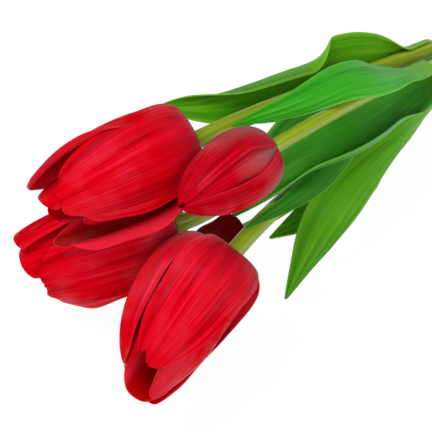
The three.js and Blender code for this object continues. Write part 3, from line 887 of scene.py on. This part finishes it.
def smoothLine(knots):
    stepsBetween, leastStep = 24, 1e-4
    ends = [knots[0] * 2 - knots[1], *knots, knots[-1] * 2 - knots[-2]]
    points = []
    for p0, p1, p2, p3 in zip(ends, ends[1:], ends[2:], ends[3:]):
        d0, d1, d2 = [max(leastStep, (b - a).length ** 0.5) for a, b in ((p0, p1), (p1, p2), (p2, p3))]
        m1 = ((p1 - p0) / d0 - (p2 - p0) / (d0 + d1) + (p2 - p1) / d1) * d1
        m2 = ((p2 - p1) / d1 - (p3 - p1) / (d1 + d2) + (p3 - p2) / d2) * d1
        for k in range(stepsBetween):
            t = k / stepsBetween
            points.append(
                p1 * (2 * t ** 3 - 3 * t * t + 1) + m1 * (t ** 3 - 2 * t * t + t)
                + p2 * (3 * t * t - 2 * t ** 3) + m2 * (t ** 3 - t * t)
            )
    points.append(knots[-1])
    return Course(points)


def leafPlace(leaf):
    head = heads[leaf["stem"]]
    grip = head["form"]["stemRadius"] + leafMake["gap"] + leafMake["solid"] / 2
    sideAngle = math.radians(leaf["side"])
    heel, toe = stemAt(head, leaf["clasp"]), stemAt(head, leaf["clasp"] - leafMake["foot"])
    stemAhead = (toe - heel).normalized()
    outwards = Vector((0, math.cos(sideAngle), math.sin(sideAngle)))
    outwards = (outwards - stemAhead * outwards.dot(stemAhead)).normalized()
    knots = []
    for share in (0, 0.5, 1):
        knots.append(stemAt(head, leaf["clasp"] - share * leafMake["foot"]) + outwards * grip)
    for x, across, up in leaf["blade"]:
        middle = stemAt(head, x)
        knots.append(Vector((x, middle.y + across, middle.z + up)))
    midrib = smoothLine(knots)
    foot = leafMake["foot"] / midrib.length
    midTurn, tipTurn = [math.radians(a) for a in leaf["facing"]]
    footAcross = stemAhead.cross(Vector((0, 0, 1))).normalized()
    footAbove = footAcross.cross(stemAhead)
    inwards = math.atan2(-outwards.dot(footAcross), -outwards.dot(footAbove)) - midTurn
    footTurn = midTurn + math.atan2(math.sin(inwards), math.cos(inwards))
    waist = leaf.get("waist", leafMake["waist"])
    waistEnd = leaf.get("waistEnd", foot)
    swell = leaf.get("swell", leafMake["swell"])
    hemStart = leaf.get("hemStart", leafMake["hemStart"])
    hemSpan = leaf.get("hemSpan", leafMake["hemSpan"])
    taperFrom = leafMake["taperFrom"]

    def place(u, v):
        ahead = midrib.ahead(v)
        across = ahead.cross(Vector((0, 0, 1))).normalized()
        above = across.cross(ahead)
        narrowed = ease(foot / 2, foot + leafMake["narrowing"], v)
        opened = ease(foot, foot + leafMake["opening"], v)
        turned = mix(footTurn, midTurn, ease(foot, foot + leafMake["turning"], v))
        turned = mix(turned, tipTurn, ease(leafMake["tipTurnFrom"], 1, v))
        inner = above * math.cos(turned) + across * math.sin(turned)
        right = ahead.cross(inner)
        tapered = (max(v - taperFrom, 0) / (1 - taperFrom)) ** leaf["point"]
        taper = mix(1, leafMake["tipWidth"], tapered)
        blade = leaf["half"] * mix(waist, 1, ease(waistEnd, swell, v)) * taper
        wide = leaf.get("wideLeft" if u < 0 else "wideRight", 1)
        blade *= mix(1, wide, ease(*leafMake["widening"], v))
        halfWidth = mix(grip * leafMake["wrap"], blade, narrowed)
        cup = mix(halfWidth / grip, leaf["cup"], opened)
        hem = leaf.get("hemLeft" if u < 0 else "hemRight", 0)
        hem *= ease(*hemSpan, v) * (1 - ease(*leafMake["hemFade"], v))
        side, lift = walkAcross(u, halfWidth, cup, hem, hemStart)
        return midrib.at(v) + right * side + inner * lift

    return place


for name, leaf in leaves.items():
    piece = layGrid(f"{name}_blade", leafMake["across"], leafMake["along"], leafPlace(leaf))
    green = leafGreens[leaf.get("green", "warm")]
    finishSheet(piece, leafMake["thickness"], "stems", name, [green])
print("leaves formed")

paintNode("binding_band", bandPaper)


# floor and light: the floor is bright only where it is seen, straight or in a reflection
stageMake = {
    "floorSize": 8, "floorDrop": 0.0004, "floor": (0.9, 0.9, 0.9), "glow": 0.9, "white": 1.05, "sky": 0.12,
}
deselectAll()
bpy.ops.mesh.primitive_plane_add(size=stageMake["floorSize"], location=(0, 0, -stageMake["floorDrop"]))
floor = bpy.context.object
floor.name = "floor"
floorPaint, nodes, links = newMaterial("floor_paint")
shader = nodes["Principled BSDF"]
shader.inputs["Base Color"].default_value = (*stageMake["floor"], 1)
shader.inputs["Roughness"].default_value = 0.9
path = nodes.new("ShaderNodeLightPath")
seen = path.outputs["Is Camera Ray"]
for ray in ("Is Glossy Ray", "Is Transmission Ray"):
    seen = combine(nodes, links, "MAXIMUM", seen, path.outputs[ray])
share = combine(nodes, links, "MULTIPLY", seen, stageMake["glow"])
glow = nodes.new("ShaderNodeEmission")
glow.inputs["Strength"].default_value = stageMake["white"]
both = nodes.new("ShaderNodeMixShader")
links.new(share, both.inputs["Fac"])
links.new(shader.outputs["BSDF"], both.inputs[1])
links.new(glow.outputs["Emission"], both.inputs[2])
links.new(both.outputs["Shader"], nodes["Material Output"].inputs["Surface"])
floor.data.materials.append(floorPaint)

# lamps stand in the axes of the camera, to its right, up and back, in metres from the middle of the pile
lamps = {
    "key": {"from": (-0.35, 0.5, 0.62), "size": 0.45, "power": 5.4},
    "front": {"from": (0.2, -0.1, 0.9), "size": 0.45, "power": 3.4},
    "low": {"from": (-0.5, -0.55, 0.45), "size": 0.5, "power": 1.3},
    "side": {"from": (0.7, -0.15, 0.35), "size": 0.4, "power": 1.6},
}
for name, lamp in lamps.items():
    right, up, back = lamp["from"]
    place = viewTarget + viewRight * right + viewUp * up + viewBack * back
    bpy.ops.object.light_add(type="AREA", location=place)
    light = bpy.context.object
    light.name = f"{name}_lamp"
    light.data.energy = lamp["power"]
    light.data.size = lamp["size"]
    light.rotation_euler = (place - viewTarget).to_track_quat("Z", "Y").to_euler()
world = bpy.data.worlds.new("studio")
world.use_nodes = True
world.node_tree.nodes["Background"].inputs["Color"].default_value = (1, 1, 1, 1)
world.node_tree.nodes["Background"].inputs["Strength"].default_value = stageMake["sky"]
bpy.context.scene.world = world
bpy.context.scene.view_settings.view_transform = "Standard"
print("stage lit")
